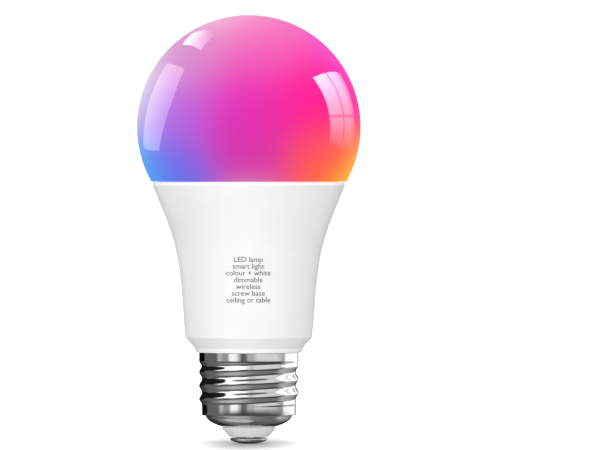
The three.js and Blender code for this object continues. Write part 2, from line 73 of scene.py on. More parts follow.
# ---------------------------------------------------------------- places that the imported model gives

dome_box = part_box("diffuser_dome")
housing_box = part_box("housing_shell")
shell_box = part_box("screw_shell")
insulator_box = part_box("base_insulator")
contact_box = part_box("centre_contact")

dome_top = dome_box[1].z
skirt_bottom = dome_box[0].z
seam = housing_box[1].z
tube_bottom = housing_box[0].z
lip_radius = housing_box[1].x
shell_bottom = shell_box[0].z
shell_top = shell_box[1].z
crest_radius = shell_box[1].x
insulator_bottom = insulator_box[0].z
insulator_top = insulator_box[1].z
contact_radius = contact_box[1].x
stem_top = contact_box[1].z


# ---------------------------------------------------------------- colour

def linear(hex_colour):
    """An sRGB hex colour as linear red, green and blue."""
    channels = []
    for start in (1, 3, 5):
        value = int(hex_colour[start:start + 2], 16) / 255
        if value <= 0.04045:
            channels.append(value / 12.92)
        else:
            channels.append(((value + 0.055) / 1.055) ** 2.4)
    return tuple(channels)


def linear_alpha(hex_colour):
    """The same with a full alpha, as node sockets want it."""
    return (*linear(hex_colour), 1.0)


# ---------------------------------------------------------------- settings

def length(name, description, millimetres):
    """A length setting, stored in metres."""
    return bpy.props.FloatProperty(
        name=name,
        description=description,
        default=millimetres * MM,
        min=0.0,
        precision=5,
        unit="LENGTH",
    )


def colour(name, description, hex_colour):
    """A colour setting."""
    return bpy.props.FloatVectorProperty(
        name=name,
        description=description,
        default=linear(hex_colour),
        size=3,
        min=0.0,
        max=1.0,
        subtype="COLOR",
    )


class BulbSizes(bpy.types.PropertyGroup):
    """Sizes of the pieces that show."""

    dome_radius: length("Dome radius", "Outer radius of the sphere", 29.5)
    dome_wall: length("Dome wall", "Thickness of the opal plastic", 1.5)
    dome_edge: length("Dome edge", "Rounding of the dome's lower edge", 0.35)
    seam_gap: length("Seam gap", "Gap between the dome and the lip", 0.08)
    skirt_inset: length("Skirt inset", "From the lip's outside to the dome's skirt", 1.6)
    lip_height: length("Lip height", "Height of the straight band under the dome", 1.0)
    lip_wall: length("Lip wall", "Thickness of the lip round the rebate", 1.3)
    rebate: length("Rebate", "Depth of the rebate for the skirt", 2.4)
    housing_wall: length("Housing wall", "Thickness of the white plastic", 1.6)
    housing_foot: length("Housing foot", "Height of the neck ring's lower face", 24.1)
    neck_ring: length("Neck ring", "Height of the neck ring", 1.1)
    neck_radius: length("Neck radius", "Radius of the neck ring's lower edge", 14.1)
    neck_flare: length("Neck flare", "How much wider the ring is at its top", 0.16)
    chamfer_height: length("Chamfer height", "Height of the chamfer over the neck ring", 2.9)
    chamfer_width: length("Chamfer width", "How far the chamfer stands out", 2.57)
    tube_radius: length("Tube radius", "Outer radius of the tube inside the shell", 11.6)
    tube_wall: length("Tube wall", "Thickness of that tube", 1.5)
    corner: length("Corner", "Rounding of the moulded corners", 0.25)
    pitch: length("Thread pitch", "Rise of the thread in one turn", 25.4 / 7)
    thread_depth: length("Thread depth", "Height of the crests over the roots", 0.75)
    thread_start: length("Thread start", "Height at which the thread starts", 9.9)
    thread_end: length("Thread end", "Height at which it meets the upper band", 22.0)
    thread_crest: length("Thread crest", "Height of the crest on the +X side", 17.1)
    band_start: length("Band start", "Height of the lower plain band's foot", 7.5)
    shoulder_step: length("Shoulder step", "Step in from the band to the shoulder", 1.0)
    mouth_radius: length("Mouth radius", "Radius of the hole in the shell's foot", 7.1)
    sheet: length("Sheet", "Thickness of the rolled sheet", 0.3)
    contact_height: length("Contact height", "Height of the contact button", 1.5)
    contact_tip: length("Contact tip", "Radius of the flat tip", 1.2)
    stem_radius: length("Stem radius", "Radius of the rivet stem", 1.1)
    print_top: length("Print top", "Height of the first printed line's middle", 48.75)
    print_step: length("Print step", "Distance between the printed lines", 1.77)
    print_size: length("Print size", "Font size of the print", 1.95)


class BulbColours(bpy.types.PropertyGroup):
    """Colours of the finishes that show."""

    housing: colour("Housing", "White moulded plastic", "#f3f3f3")
    metal: colour("Metal", "Nickel plating", "#cfcecd")
    insulator: colour("Insulator", "Pale insulating plastic", "#e3e2e1")
    ink: colour("Ink", "Printed lines", "#505050")
    floor: colour("Floor", "Studio floor", "#f7f7f7")


def sizes():
    """The size settings of the scene."""
    return bpy.context.scene.bulb_sizes


def colours():
    """The colour settings of the scene."""
    return bpy.context.scene.bulb_colours


# ---------------------------------------------------------------- node and material helpers

def add_node(tree, kind, settings=None, links=None):
    """Adds one node: settings by attribute or input name, links as input name to an output socket."""
    node = tree.nodes.new(kind)
    for key, value in (settings or {}).items():
        if isinstance(key, int) or key in node.inputs:
            node.inputs[key].default_value = value
        else:
            setattr(node, key, value)
    for key, socket in (links or {}).items():
        tree.links.new(socket, node.inputs[key])
    return node


def empty_tree(owner):
    """The cleared node tree of a material or a world."""
    owner.use_nodes = True
    owner.node_tree.nodes.clear()
    return owner.node_tree


def new_material(name, base, roughness, metallic=0.0, ior=None):
    """A node material with one Principled shader. Returns the material, its tree and the shader."""
    material = bpy.data.materials.new(name)
    tree = empty_tree(material)
    settings = {"Base Color": (*base, 1.0), "Roughness": roughness, "Metallic": metallic}
    if ior is not None:
        settings["IOR"] = ior
    shader = add_node(tree, "ShaderNodeBsdfPrincipled", settings)
    add_node(tree, "ShaderNodeOutputMaterial", links={"Surface": shader.outputs[0]})
    material.diffuse_color = (*base, 1.0)
    return material, tree, shader


def object_place(tree, stretch=(1.0, 1.0, 1.0)):
    """Object coordinates in millimetres, stretched if asked."""
    coordinates = add_node(tree, "ShaderNodeTexCoord")
    scale = tuple(factor / MM for factor in stretch)
    return add_node(
        tree, "ShaderNodeMapping", {"Scale": scale}, {"Vector": coordinates.outputs["Object"]}
    ).outputs[0]


def place_in_radii(tree, centre_height, radii):
    """Object coordinates from a centre on the axis, as shares of three radii."""
    coordinates = add_node(tree, "ShaderNodeTexCoord")
    settings = {"vector_type": "TEXTURE", "Location": (0, 0, centre_height), "Scale": radii}
    return add_node(tree, "ShaderNodeMapping", settings, {"Vector": coordinates.outputs["Object"]}).outputs[0]


def noise(tree, place, grain, detail=3.0, roughness=0.5):
    """Noise whose grains are about so many millimetres wide."""
    settings = {"Scale": 1.0 / grain, "Detail": detail, "Roughness": roughness}
    return add_node(tree, "ShaderNodeTexNoise", settings, {"Vector": place}).outputs[0]


def remap(tree, socket, low, high, from_low=0.0, from_high=1.0, kind="LINEAR"):
    """The socket's values moved from one range to another."""
    settings = {
        "interpolation_type": kind,
        "From Min": from_low,
        "From Max": from_high,
        "To Min": low,
        "To Max": high,
    }
    return add_node(tree, "ShaderNodeMapRange", settings, {"Value": socket}).outputs[0]


def roughen(tree, shader, socket, low, high):
    """Lets the pattern vary the roughness between two values."""
    tree.links.new(remap(tree, socket, low, high, 0.3, 0.7), shader.inputs["Roughness"])


def bump(tree, shader, socket, height_mm, strength=1.0):
    """Lets the pattern raise the surface by so many millimetres."""
    settings = {"Strength": strength, "Distance": height_mm * MM}
    node = add_node(tree, "ShaderNodeBump", settings, {"Height": socket})
    tree.links.new(node.outputs[0], shader.inputs["Normal"])


def tint(tree, shader, socket, dark, light):
    """Lets the pattern move the base colour between two hex colours."""
    ramp = add_node(tree, "ShaderNodeValToRGB", links={"Fac": socket})
    ramp.color_ramp.elements[0].position = 0.35
    ramp.color_ramp.elements[0].color = linear_alpha(dark)
    ramp.color_ramp.elements[1].position = 0.65
    ramp.color_ramp.elements[1].color = linear_alpha(light)
    tree.links.new(ramp.outputs[0], shader.inputs["Base Color"])


# ---------------------------------------------------------------- modelling helpers

def deselect():
    """Leaves edit mode and deselects every object."""
    if bpy.context.object and bpy.context.object.mode != "OBJECT":
        bpy.ops.object.mode_set(mode="OBJECT")
    bpy.ops.object.select_all(action="DESELECT")


def start_ring(name, radius, height, sides):
    """A circle round the axis, ready to be extruded in edit mode."""
    deselect()
    bpy.ops.mesh.primitive_circle_add(vertices=sides, radius=radius, location=(0, 0, height))
    piece = bpy.context.object
    piece.name = name
    bpy.ops.object.transform_apply(location=True, rotation=True, scale=True)
    bpy.ops.object.mode_set(mode="EDIT")
    bpy.ops.mesh.select_all(action="SELECT")
    return piece


def extrude_rings(outline):
    """Extrudes the selected ring along the outline's points of radius and height.

    A last point on the axis closes the shape there.
    """
    for (radius, height), (next_radius, next_height) in zip(outline, outline[1:]):
        rise = {"value": (0, 0, next_height - height)}
        bpy.ops.mesh.extrude_region_move(TRANSFORM_OT_translate=rise)
        if next_radius == 0:
            bpy.ops.mesh.merge(type="CENTER")
        else:
            ratio = next_radius / radius
            bpy.ops.transform.resize(value=(ratio, ratio, 1), center_override=(0, 0, next_height))


def select_ring(piece, radius, height):
    """Selects only the vertices of one ring, by their place."""
    bpy.ops.mesh.select_all(action="DESELECT")
    bpy.ops.object.mode_set(mode="OBJECT")
    near = 1e-6
    for vertex in piece.data.vertices:
        place = vertex.co
        reach = math.hypot(place.x, place.y)
        vertex.select = abs(reach - radius) < near and abs(place.z - height) < near
    bpy.ops.object.mode_set(mode="EDIT")


def close_piece():
    """Merges doubled vertices, turns every face outwards and goes back to object mode."""
    bpy.ops.mesh.select_all(action="SELECT")
    bpy.ops.mesh.remove_doubles(threshold=1e-6)
    bpy.ops.mesh.normals_make_consistent(inside=False)
    bpy.ops.object.mode_set(mode="OBJECT")


def smooth(piece, degrees=40):
    """Smooth shading that keeps the sharp edges."""
    deselect()
    piece.select_set(True)
    bpy.context.view_layer.objects.active = piece
    bpy.ops.object.shade_smooth_by_angle(angle=math.radians(degrees))


def turn_closed(name, outline, sides):
    """A piece turned from a closed outline, which ends where it starts."""
    piece = start_ring(name, *outline[0], sides)
    extrude_rings(outline)
    close_piece()
    smooth(piece)
    return piece


def turn_two_ways(name, first, second, sides):
    """A piece turned from two outlines that share their first point and each end on the axis."""
    piece = start_ring(name, *first[0], sides)
    extrude_rings(first)
    select_ring(piece, *first[0])
    extrude_rings(second)
    close_piece()
    smooth(piece)
    return piece


def arc(centre_radius, centre_height, radius, start, end, steps):
    """Points of radius and height on an arc, angles in degrees from the outward direction."""
    points = []
    for step in range(steps + 1):
        angle = math.radians(start + (end - start) * step / steps)
        points.append((centre_radius + radius * math.cos(angle), centre_height + radius * math.sin(angle)))
    return points


def bezier(points, steps):
    """Points along a Bezier curve of radius and height, of degree two or three."""
    curve = []
    for step in range(steps + 1):
        t = step / steps
        level = [Vector(point) for point in points]
        while len(level) > 1:
            level = [a.lerp(b, t) for a, b in zip(level, level[1:])]
        curve.append(tuple(level[0]))
    return curve


def rounded(outline, radius, corners):
    """The outline with the named corners, by index, rounded by a short arc."""
    result = []
    for index, point in enumerate(outline):
        if index not in corners:
            result.append(point)
            continue
        here = Vector(point)
        before = Vector(outline[index - 1]) - here
        after = Vector(outline[index + 1]) - here
        reach = min(radius, before.length / 2.2, after.length / 2.2)
        start = here + before.normalized() * reach
        end = here + after.normalized() * reach
        result += bezier([start, here, end], 4)
    return result


def finish_piece(piece, material, *nodes):
    """Gives the piece its material, lets it ride and stand for its CAD nodes."""
    piece.data.materials.clear()
    piece.data.materials.append(material)
    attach(piece, BODY)
    if nodes:
        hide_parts(*nodes)


def dress_nodes(material, *names):
    """Gives CAD nodes a material in their own slots."""
    for name in names:
        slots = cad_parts[name].data.materials
        if len(slots) == 0:
            slots.append(material)
        for index in range(len(slots)):
            slots[index] = material


# ---------------------------------------------------------------- dome

FLATTENED = 1e6

# The light that reaches the opal, with painted reflections at its top and left rims, as soft patches that
# blend into each other.
# A patch's centre is across and up from the sphere's middle, and its reach is how fast it fades, both in dome
# radii.
GLOW_AND_RIM_REFLECTION_PATCHES = [
    # The first two patches are painted reflections of the bright room on the dome's top and left rims.
    ("painted reflection on the top rim", "#ffffff", (-0.3, 1.5), 0.5),
    ("painted reflection on the left rim", "#eceaf6", (-1.2, 0.5), 0.4),
    ("pink", "#f568bc", (0.1, 0.8), 0.4),
    ("hot pink", "#ff1490", (0.5, 0.2), 0.4),
    ("magenta", "#e62cbc", (-0.1, 0.2), 0.4),
    ("violet pink", "#f450e4", (1.1, 0.9), 0.4),
    ("orchid", "#d88ccc", (-0.5, 0.6), 0.3),
    ("violet", "#a868e4", (-0.6, 0.1), 0.3),
    ("blue", "#5a68e8", (-0.6, -0.4), 0.3),
    ("sky", "#44c8ff", (-1.2, -0.6), 0.4),
    ("plum", "#cc38a4", (0.0, -0.2), 0.4),
    ("orange", "#ff5a30", (0.6, -0.3), 0.3),
    ("yellow", "#ffe010", (1.2, -0.7), 0.4),
    ("pale spill at the seam", "#f0d4dc", (0.0, -0.9), 0.3),
]


def glow_and_rim_reflection_colour(tree, radius, centre):
    """The colour of the glow over the dome, with the painted rim reflections: the mean of the patches,
    weighed by nearness.
    """
    # The depth is divided away, so that the patches run straight through from front to back.
    place = place_in_radii(tree, centre, (radius, FLATTENED, radius))
    colour_sum = (0, 0, 0)
    weight_sum = 0.0
    for name, hex_colour, (across, up), reach in GLOW_AND_RIM_REFLECTION_PATCHES:
        apart = add_node(
            tree, "ShaderNodeVectorMath", {"operation": "SUBTRACT", 1: (across, 0, up)}, {0: place}
        ).outputs[0]
        squared = add_node(
            tree, "ShaderNodeVectorMath", {"operation": "DOT_PRODUCT"}, {0: apart, 1: apart}
        ).outputs["Value"]
        fall = add_node(
            tree, "ShaderNodeMath", {"operation": "MULTIPLY", 1: -1 / reach ** 2}, {0: squared}
        ).outputs[0]
        weight = add_node(tree, "ShaderNodeMath", {"operation": "EXPONENT"}, {0: fall}).outputs[0]
        settings = {"label": name, "operation": "MULTIPLY_ADD", 0: linear(hex_colour)}
        if colour_sum == (0, 0, 0):
            shade = add_node(tree, "ShaderNodeVectorMath", settings, {1: weight})
            weight_sum = weight
        else:
            shade = add_node(tree, "ShaderNodeVectorMath", settings, {1: weight, 2: colour_sum})
            weight_sum = add_node(
                tree, "ShaderNodeMath", {"operation": "ADD"}, {0: weight_sum, 1: weight}
            ).outputs[0]
        colour_sum = shade.outputs[0]
    share = add_node(tree, "ShaderNodeMath", {"operation": "DIVIDE", 0: 1.0}, {1: weight_sum})
    return add_node(
        tree, "ShaderNodeVectorMath", {"operation": "SCALE"}, {0: colour_sum, "Scale": share.outputs[0]}
    ).outputs[0]


def lit_opal_polycarbonate(radius, centre):
    """Blown opal polycarbonate, polished outside and lit from inside.

    It glows evenly, so it shows almost no shading of its own, under a clear mirror-like skin.
    """
    material, tree, shader = new_material("lit_opal_polycarbonate", linear("#e03c9c"), 0.03, ior=1.585)
    glow = glow_and_rim_reflection_colour(tree, radius, centre)
    unlit = add_node(
        tree,
        "ShaderNodeMix",
        {"data_type": "RGBA", "blend_type": "MULTIPLY", 0: 1.0, 7: (0.06, 0.06, 0.06, 1.0)},
        {6: glow},
    )
    tree.links.new(unlit.outputs[2], shader.inputs["Base Color"])
    # The emission carries the glow from inside and the painted reflections on the top and left rims.
    tree.links.new(glow, shader.inputs["Emission Color"])
    shader.inputs["Emission Strength"].default_value = 0.97
    # The blow mould leaves a waviness a few millimetres long that only bends the reflections a little.
    waves = noise(tree, object_place(tree), 7.0, detail=0.0)
    roughen(tree, shader, waves, 0.02, 0.05)
    bump(tree, shader, waves, 0.004, 0.1)
    return material


class BULB_OT_dome(bpy.types.Operator):
    """Turns the lit dome with its rounded edge and its skirt"""

    bl_idname = "bulb.dome"
    bl_label = "Dome"

    def execute(self, context):
        s = sizes()
        radius = s.dome_radius
        centre = dome_top - radius
        edge = seam + s.seam_gap
        edge_angle = math.degrees(math.asin((edge + s.dome_edge - centre) / radius))
        outside = arc(0, centre, radius, edge_angle, 90, 64)[:-1]
        skirt_radius = lip_radius - s.skirt_inset
        inner_skirt = skirt_radius - s.dome_wall
        inner_radius = radius - s.dome_wall
        inner_foot = centre - math.sqrt(inner_radius ** 2 - inner_skirt ** 2)
        inner_angle = math.degrees(math.asin((inner_foot - centre) / inner_radius))
        inside = arc(0, centre, inner_radius, inner_angle, 90, 40)[:-1]
        corner = [
            (skirt_radius, skirt_bottom),
            (skirt_radius, edge),
            (outside[0][0] - s.dome_edge, edge),
        ]
        edge_round = bezier([corner[-1], (outside[0][0] - 0.1 * s.dome_edge, edge), outside[0]], 5)
        first = [*corner[:2], *edge_round, *outside[1:], (0, dome_top)]
        second = [
            (skirt_radius, skirt_bottom),
            (inner_skirt, skirt_bottom),
            *inside,
            (0, centre + inner_radius),
        ]
        piece = turn_two_ways("dome", first, second, 128)
        finish_piece(piece, lit_opal_polycarbonate(radius, centre), "diffuser_dome")
        return {"FINISHED"}


# ---------------------------------------------------------------- housing

def satin_white_plastic():
    """Moulded white polycarbonate with a spark-eroded mould finish: a soft sheen with a very fine grain."""
    material, tree, shader = new_material("satin_white_plastic", tuple(colours().housing), 0.4, ior=1.55)
    place = object_place(tree)
    # Mould grain is about 0.05 mm and is drawn at 0.25 mm, so that it shows at all.
    grain = noise(tree, place, 0.25, detail=2.0)
    cloud = noise(tree, place, 12.0, detail=2.0)
    roughen(tree, shader, cloud, 0.36, 0.44)
    bump(tree, shader, grain, 0.004, 0.35)
    tint(tree, shader, cloud, "#f1f1f1", "#f4f4f4")
    # The dome's light shows through the thin lip round it.
    height = add_node(tree, "ShaderNodeSeparateXYZ", links={"Vector": place}).outputs["Z"]
    lip_foot = (seam - sizes().lip_height) / MM
    leak = remap(tree, height, 0.0, 0.13, lip_foot - 0.1, lip_foot + 0.3, "SMOOTHSTEP")
    tree.links.new(leak, shader.inputs["Emission Color"])
    shader.inputs["Emission Strength"].default_value = 1.0
    return material


def flank_points(s, steps):
    """The housing's flank as one curve: nearly straight over the neck, flaring to the lip."""
    foot = s.housing_foot + s.neck_ring + s.chamfer_height
    foot_radius = s.neck_radius + s.neck_flare + s.chamfer_width
    top = seam - s.lip_height
    rise = top - foot
    low_reach = 0.625 * rise
    high_reach = rise - low_reach
    low_slope = 0.06
    high_slope = 0.4
    return bezier(
        [
            (foot_radius, foot),
            (foot_radius + low_slope * low_reach, foot + low_reach),
            (lip_radius - high_slope * high_reach, top - high_reach),
            (lip_radius, top),
        ],
        steps,
    )


class BULB_OT_housing(bpy.types.Operator):
    """Turns the white housing with its lip, rebate, chamfer, neck ring and inner tube"""

    bl_idname = "bulb.housing"
    bl_label = "Housing"

    def execute(self, context):
        s = sizes()
        flank = flank_points(s, 36)
        lip_bore = lip_radius - s.lip_wall
        ledge = seam - s.rebate
        ring_top = s.housing_foot + s.neck_ring
        tube_bore = s.tube_radius - s.tube_wall
        inner = [(radius - s.housing_wall, height) for radius, height in reversed(flank) if height < ledge]
        outer = rounded(
            [
                (s.tube_radius, tube_bottom),
                (s.tube_radius, s.housing_foot),
                (s.neck_radius, s.housing_foot),
                (s.neck_radius + s.neck_flare, ring_top),
                flank[0],
                flank[1],
            ],
            s.corner,
            (2, 3, 4),
        )
        lip = rounded([flank[-2], flank[-1], (lip_radius, seam), (lip_bore, seam)], s.corner, (1, 2))
        outline = [
            (tube_bore, tube_bottom),
            *outer,
            *flank[2:-2],
            *lip,
            (lip_bore, ledge),
            (inner[0][0], ledge),
            *inner,
            (tube_bore, ring_top),
            (tube_bore, tube_bottom),
        ]
        piece = turn_closed("housing", outline, 128)
        self.cut_wire_notch(piece, s)
        smooth(piece, 30)
        finish_piece(piece, satin_white_plastic(), "housing_shell")
        return {"FINISHED"}

    def cut_wire_notch(self, piece, s):
        """Cuts the notch for the wire to the screw shell into the foot of the tube."""
        width = 2.2 * MM
        height = 2.5 * MM
        deselect()
        bpy.ops.mesh.primitive_cube_add(size=1, location=(-s.tube_radius, 0, tube_bottom))
        cutter = bpy.context.object
        cutter.scale = (s.tube_radius, width, 2 * height)
        deselect()
        piece.select_set(True)
        bpy.context.view_layer.objects.active = piece
        notch = piece.modifiers.new("notch", "BOOLEAN")
        notch.object = cutter
        notch.operation = "DIFFERENCE"
        bpy.ops.object.modifier_apply(modifier=notch.name)
        bpy.data.objects.remove(cutter)


# ---------------------------------------------------------------- print

PRINT_LINES = [
    "LED lamp",
    "smart light",
    "colour + white",
    "dimmable",
    "wireless",
    "screw base",
    "ceiling or table",
]


def grey_print_ink():
    """Pad-printed ink: flat grey, slightly uneven in its coverage."""
    material, tree, shader = new_material("grey_print_ink", tuple(colours().ink), 0.55)
    place = object_place(tree)
    cover = noise(tree, place, 0.4, detail=2.0)
    roughen(tree, shader, cover, 0.5, 0.65)
    tint(tree, shader, cover, "#484848", "#585858")
    return material


class BULB_OT_print(bpy.types.Operator):
    """Sets the rating lines, lays them on the housing and makes them one thin layer of ink"""

    bl_idname = "bulb.print"
    bl_label = "Print"

    def execute(self, context):
        s = sizes()
        lines = []
        for index, text in enumerate(PRINT_LINES):
            lines.append(self.set_line(text, s.print_top - index * s.print_step, s))
        deselect()
        for line in lines:
            line.select_set(True)
        bpy.context.view_layer.objects.active = lines[0]
        bpy.ops.object.join()
        piece = bpy.context.object
        piece.name = "rating_print"
        self.lay_on_housing(piece)
        finish_piece(piece, grey_print_ink())
        return {"FINISHED"}

    def set_line(self, text, height, s):
        """One line of text as a flat mesh in front of the housing, facing -Y."""
        deselect()
        bpy.ops.object.text_add(location=(0, 0, 0))
        line = bpy.context.object
        line.data.body = text
        line.data.size = s.print_size
        line.data.align_x = "CENTER"
        line.data.align_y = "CENTER"
        line.data.resolution_u = 3
        bpy.ops.object.convert(target="MESH")
        line = bpy.context.object
        line.rotation_euler = (math.radians(90), 0, 0)
        line.location = (0, -lip_radius, height)
        bpy.ops.object.transform_apply(location=True, rotation=True, scale=True)
        return line

    def lay_on_housing(self, piece):
        """Projects the flat letters straight back on to the housing, then gives the ink its thickness."""
        wrap = piece.modifiers.new("wrap", "SHRINKWRAP")
        wrap.target = bpy.data.objects["housing"]
        wrap.wrap_method = "PROJECT"
        wrap.use_project_y = True
        wrap.use_project_x = False
        wrap.use_project_z = False
        wrap.use_positive_direction = True
        wrap.offset = 0.03 * MM
        bpy.ops.object.modifier_apply(modifier=wrap.name)
        ink = piece.modifiers.new("ink", "SOLIDIFY")
        ink.thickness = 0.02 * MM
        bpy.ops.object.modifier_apply(modifier=ink.name)


# ---------------------------------------------------------------- screw shell

def rolled_nickel_plate():
    """Nickel plating on rolled brass sheet: a bright mirror with faint rolling marks round it."""
    material, tree, shader = new_material("rolled_nickel_plate", tuple(colours().metal), 0.045, metallic=1.0)
    # Rolling marks run round the shell, so the pattern is squeezed along the axis.
    marks = noise(tree, object_place(tree, (0.12, 0.12, 6.0)), 1.0, detail=3.0)
    haze = noise(tree, object_place(tree), 3.0, detail=3.0)
    roughen(tree, shader, haze, 0.035, 0.06)
    bump(tree, shader, marks, 0.002, 0.12)
    tint(tree, shader, haze, "#cccbca", "#d2d1d0")
    return material


def thread_height(s, x, y, z):
    """How far the rolled right-hand thread stands out at a place: it rises from the band below."""
    run_in = s.pitch / 2
    turn = math.atan2(y, x) / (2 * math.pi)
    phase = (z - s.thread_crest) / s.pitch - turn
    wave = 0.5 + 0.5 * math.cos(2 * math.pi * phase)
    rise = smooth_step((z - s.thread_start) / run_in)
    band = smooth_step((z - s.thread_end + run_in) / run_in)
    return s.thread_depth * (wave * rise * (1 - band) + band)


def smooth_step(share):
    """Eases from 0 to 1."""
    share = min(max(share, 0.0), 1.0)
    return share * share * (3 - 2 * share)


class BULB_OT_shell(bpy.types.Operator):
    """Turns the screw shell and rolls the thread into both faces of its sheet"""

    bl_idname = "bulb.shell"
    bl_label = "Screw shell"

    def execute(self, context):
        s = sizes()
        root = crest_radius - s.thread_depth
        shoulder = root - s.shoulder_step
        land = 0.3 * MM
        middle = (shell_bottom + s.band_start) / 2
        curve = bezier(
            [
                (s.mouth_radius + land, shell_bottom),
                (shoulder - land, middle - land),
                (shoulder, s.band_start - land / 3),
            ],
            10,
        )
        rows = 64
        zone = [s.thread_start + (s.thread_end - s.thread_start) * row / rows for row in range(rows + 1)]
        step = bezier([curve[-1], (shoulder, s.band_start), (root - land, s.band_start)], 3)
        turn_up = bezier([(root - land, s.band_start), (root, s.band_start), (root, s.band_start + land)], 4)
        outer = [*curve[:-1], *step, *turn_up[1:], *[(root, height) for height in zone]]
        outer += [(root, shell_top)]
        inner = [(root - s.sheet, height) for _, height in reversed(outer) if height > s.band_start + land]
        inner += [(radius - s.sheet / 2, height + s.sheet) for radius, height in reversed(curve)]
        outline = [(s.mouth_radius, shell_bottom), *outer, *inner]
        outline += [(s.mouth_radius, shell_bottom + s.sheet), (s.mouth_radius, shell_bottom)]
        piece = turn_closed("thread_shell", outline, 144)
        for vertex in piece.data.vertices:
            x, y, z = vertex.co
            if z > s.band_start + 2 * land:
                reach = math.hypot(x, y)
                stretch = (reach + thread_height(s, x, y, z)) / reach
                vertex.co = (x * stretch, y * stretch, z)
        smooth(piece, 60)
        finish_piece(piece, rolled_nickel_plate(), "screw_shell")
        return {"FINISHED"}


# ---------------------------------------------------------------- insulator and contact

def pale_moulded_insulator():
    """Injection-moulded pale insulating resin: satin, a little translucent, with a faint flow pattern."""
    material, tree, shader = new_material("pale_moulded_insulator", tuple(colours().insulator), 0.38, ior=1.5)
    place = object_place(tree)
    flow = noise(tree, place, 1.6, detail=3.0)
    roughen(tree, shader, flow, 0.32, 0.45)
    tint(tree, shader, flow, "#e0dfde", "#e6e5e4")
    bump(tree, shader, noise(tree, place, 0.3), 0.004, 0.3)
    return material


def pressed_nickel_contact():
    """Nickel-plated pressed contact: bright, with fine circular marks and a worn tip."""
    nickel = tuple(colours().metal)
    material, tree, shader = new_material("pressed_nickel_contact", nickel, 0.14, metallic=1.0)
    place = object_place(tree)
    scuff = noise(tree, place, 0.8, detail=4.0)
    roughen(tree, shader, scuff, 0.1, 0.24)
    tint(tree, shader, scuff, "#bdbbb8", "#d4d3d1")
    bump(tree, shader, scuff, 0.004, 0.2)
    return material


class BULB_OT_insulator(bpy.types.Operator):
    """Turns the insulator's cone, waist and plug"""

    bl_idname = "bulb.insulator"
    bl_label = "Insulator"

    def execute(self, context):
        s = sizes()
        gap = 0.3 * MM
        hole = s.stem_radius + gap
        foot = contact_radius + 0.2 * MM
        cone_top = shell_bottom - gap
        waist = s.mouth_radius - gap
        plug_radius = insulator_box[1].x
        outline = rounded(
            [
                (hole, insulator_bottom),
                (foot, insulator_bottom),
                (s.mouth_radius, cone_top - gap),
                (s.mouth_radius, cone_top),
                (waist, cone_top),
                (waist, shell_bottom + s.sheet + 2 * gap),
                (plug_radius - 2.2 * MM, shell_bottom + s.sheet + 3 * gap),
                (plug_radius, insulator_top - 1.2 * MM),
                (plug_radius, insulator_top),
                (hole, insulator_top),
                (hole, insulator_bottom),
            ],
            0.3 * MM,
            (1, 2, 3, 6, 7, 8),
        )
        piece = turn_closed("insulator_cone", outline, 96)
        smooth(piece, 30)
        finish_piece(piece, pale_moulded_insulator(), "base_insulator")
        return {"FINISHED"}


class BULB_OT_contact(bpy.types.Operator):
    """Turns the domed contact button with its rolled rim and its rivet stem"""

    bl_idname = "bulb.contact"
    bl_label = "Contact"

    def execute(self, context):
        s = sizes()
        rim = 0.35 * MM
        crown = bezier(
            [(s.contact_tip, 0), (contact_radius - rim, rim), (contact_radius, s.contact_height - rim)], 14
        )
        rolled = arc(contact_radius - rim, s.contact_height - rim, rim, 0, 90, 5)
        stem = [(s.stem_radius, s.contact_height), (s.stem_radius, stem_top), (0, stem_top)]
        first = [*crown, *rolled[1:], *stem]
        second = [crown[0], (s.contact_tip * 0.5, 0), (0, 0)]
        piece = turn_two_ways("contact_button", first, second, 96)
        finish_piece(piece, pressed_nickel_contact(), "centre_contact")
        return {"FINISHED"}


# ---------------------------------------------------------------- parts inside

def mottled(name, dark, light, roughness, grain, relief, metallic=0.0, ior=None, stretch=(1, 1, 1)):
    """A finish whose colour, gloss and relief follow one pattern of so many millimetres."""
    material, tree, shader = new_material(name, linear(light), roughness, metallic, ior)
    pattern = noise(tree, object_place(tree, stretch), grain)
    tint(tree, shader, pattern, dark, light)
    roughen(tree, shader, pattern, 0.8 * roughness, 1.2 * roughness)
    bump(tree, shader, pattern, relief, 0.4)
    return material, tree, shader


def cured_silicone():
    """Translucent white silicone: soft, a little wavy where the nozzle laid it."""
    material, tree, shader = mottled("cured_silicone", "#e9e9e6", "#f4f4f2", 0.45, 1.5, 0.05, ior=1.41)
    shader.inputs["Subsurface Weight"].default_value = 0.3
    shader.inputs["Subsurface Scale"].default_value = 0.8 * MM
    return material


def drawn_aluminium():
    """Deep-drawn aluminium sheet: satin, with draw marks along the axis."""
    along_axis = (1.0, 1.0, 0.06)
    return mottled(
        "drawn_aluminium", "#b2b5b9", "#c0c3c7", 0.35, 0.4, 0.01, metallic=1.0, stretch=along_axis
    )[0]


def white_solder_resist():
    """White resist over an aluminium board: satin, with a slight orange peel."""
    return mottled("white_solder_resist", "#e7e9e4", "#f0f2ed", 0.4, 0.6, 0.01, ior=1.5)[0]


def board_resist(name, over_laminate, over_copper):
    """Solder resist over copper tracks, which stand out by a lighter shade and a low step."""
    material, tree, shader = new_material(name, linear(over_copper), 0.35, ior=1.5)
    place = object_place(tree)
    # The tracks are about 1.5 mm apart.
    tracks = add_node(
        tree, "ShaderNodeTexVoronoi", {"feature": "DISTANCE_TO_EDGE", "Scale": 1 / 1.5}, {"Vector": place}
    )
    edge = remap(tree, tracks.outputs["Distance"], 0.0, 1.0, 0.08, 0.14)
    tint(tree, shader, edge, over_laminate, over_copper)
    roughen(tree, shader, noise(tree, place, 0.8), 0.3, 0.42)
    bump(tree, shader, edge, 0.035, 0.6)
    return material


def transfer_moulded_epoxy():
    """The black epoxy of chip packages: matt, finely speckled with its filler."""
    return mottled("transfer_moulded_epoxy", "#19191b", "#242426", 0.6, 0.15, 0.01, ior=1.55)[0]


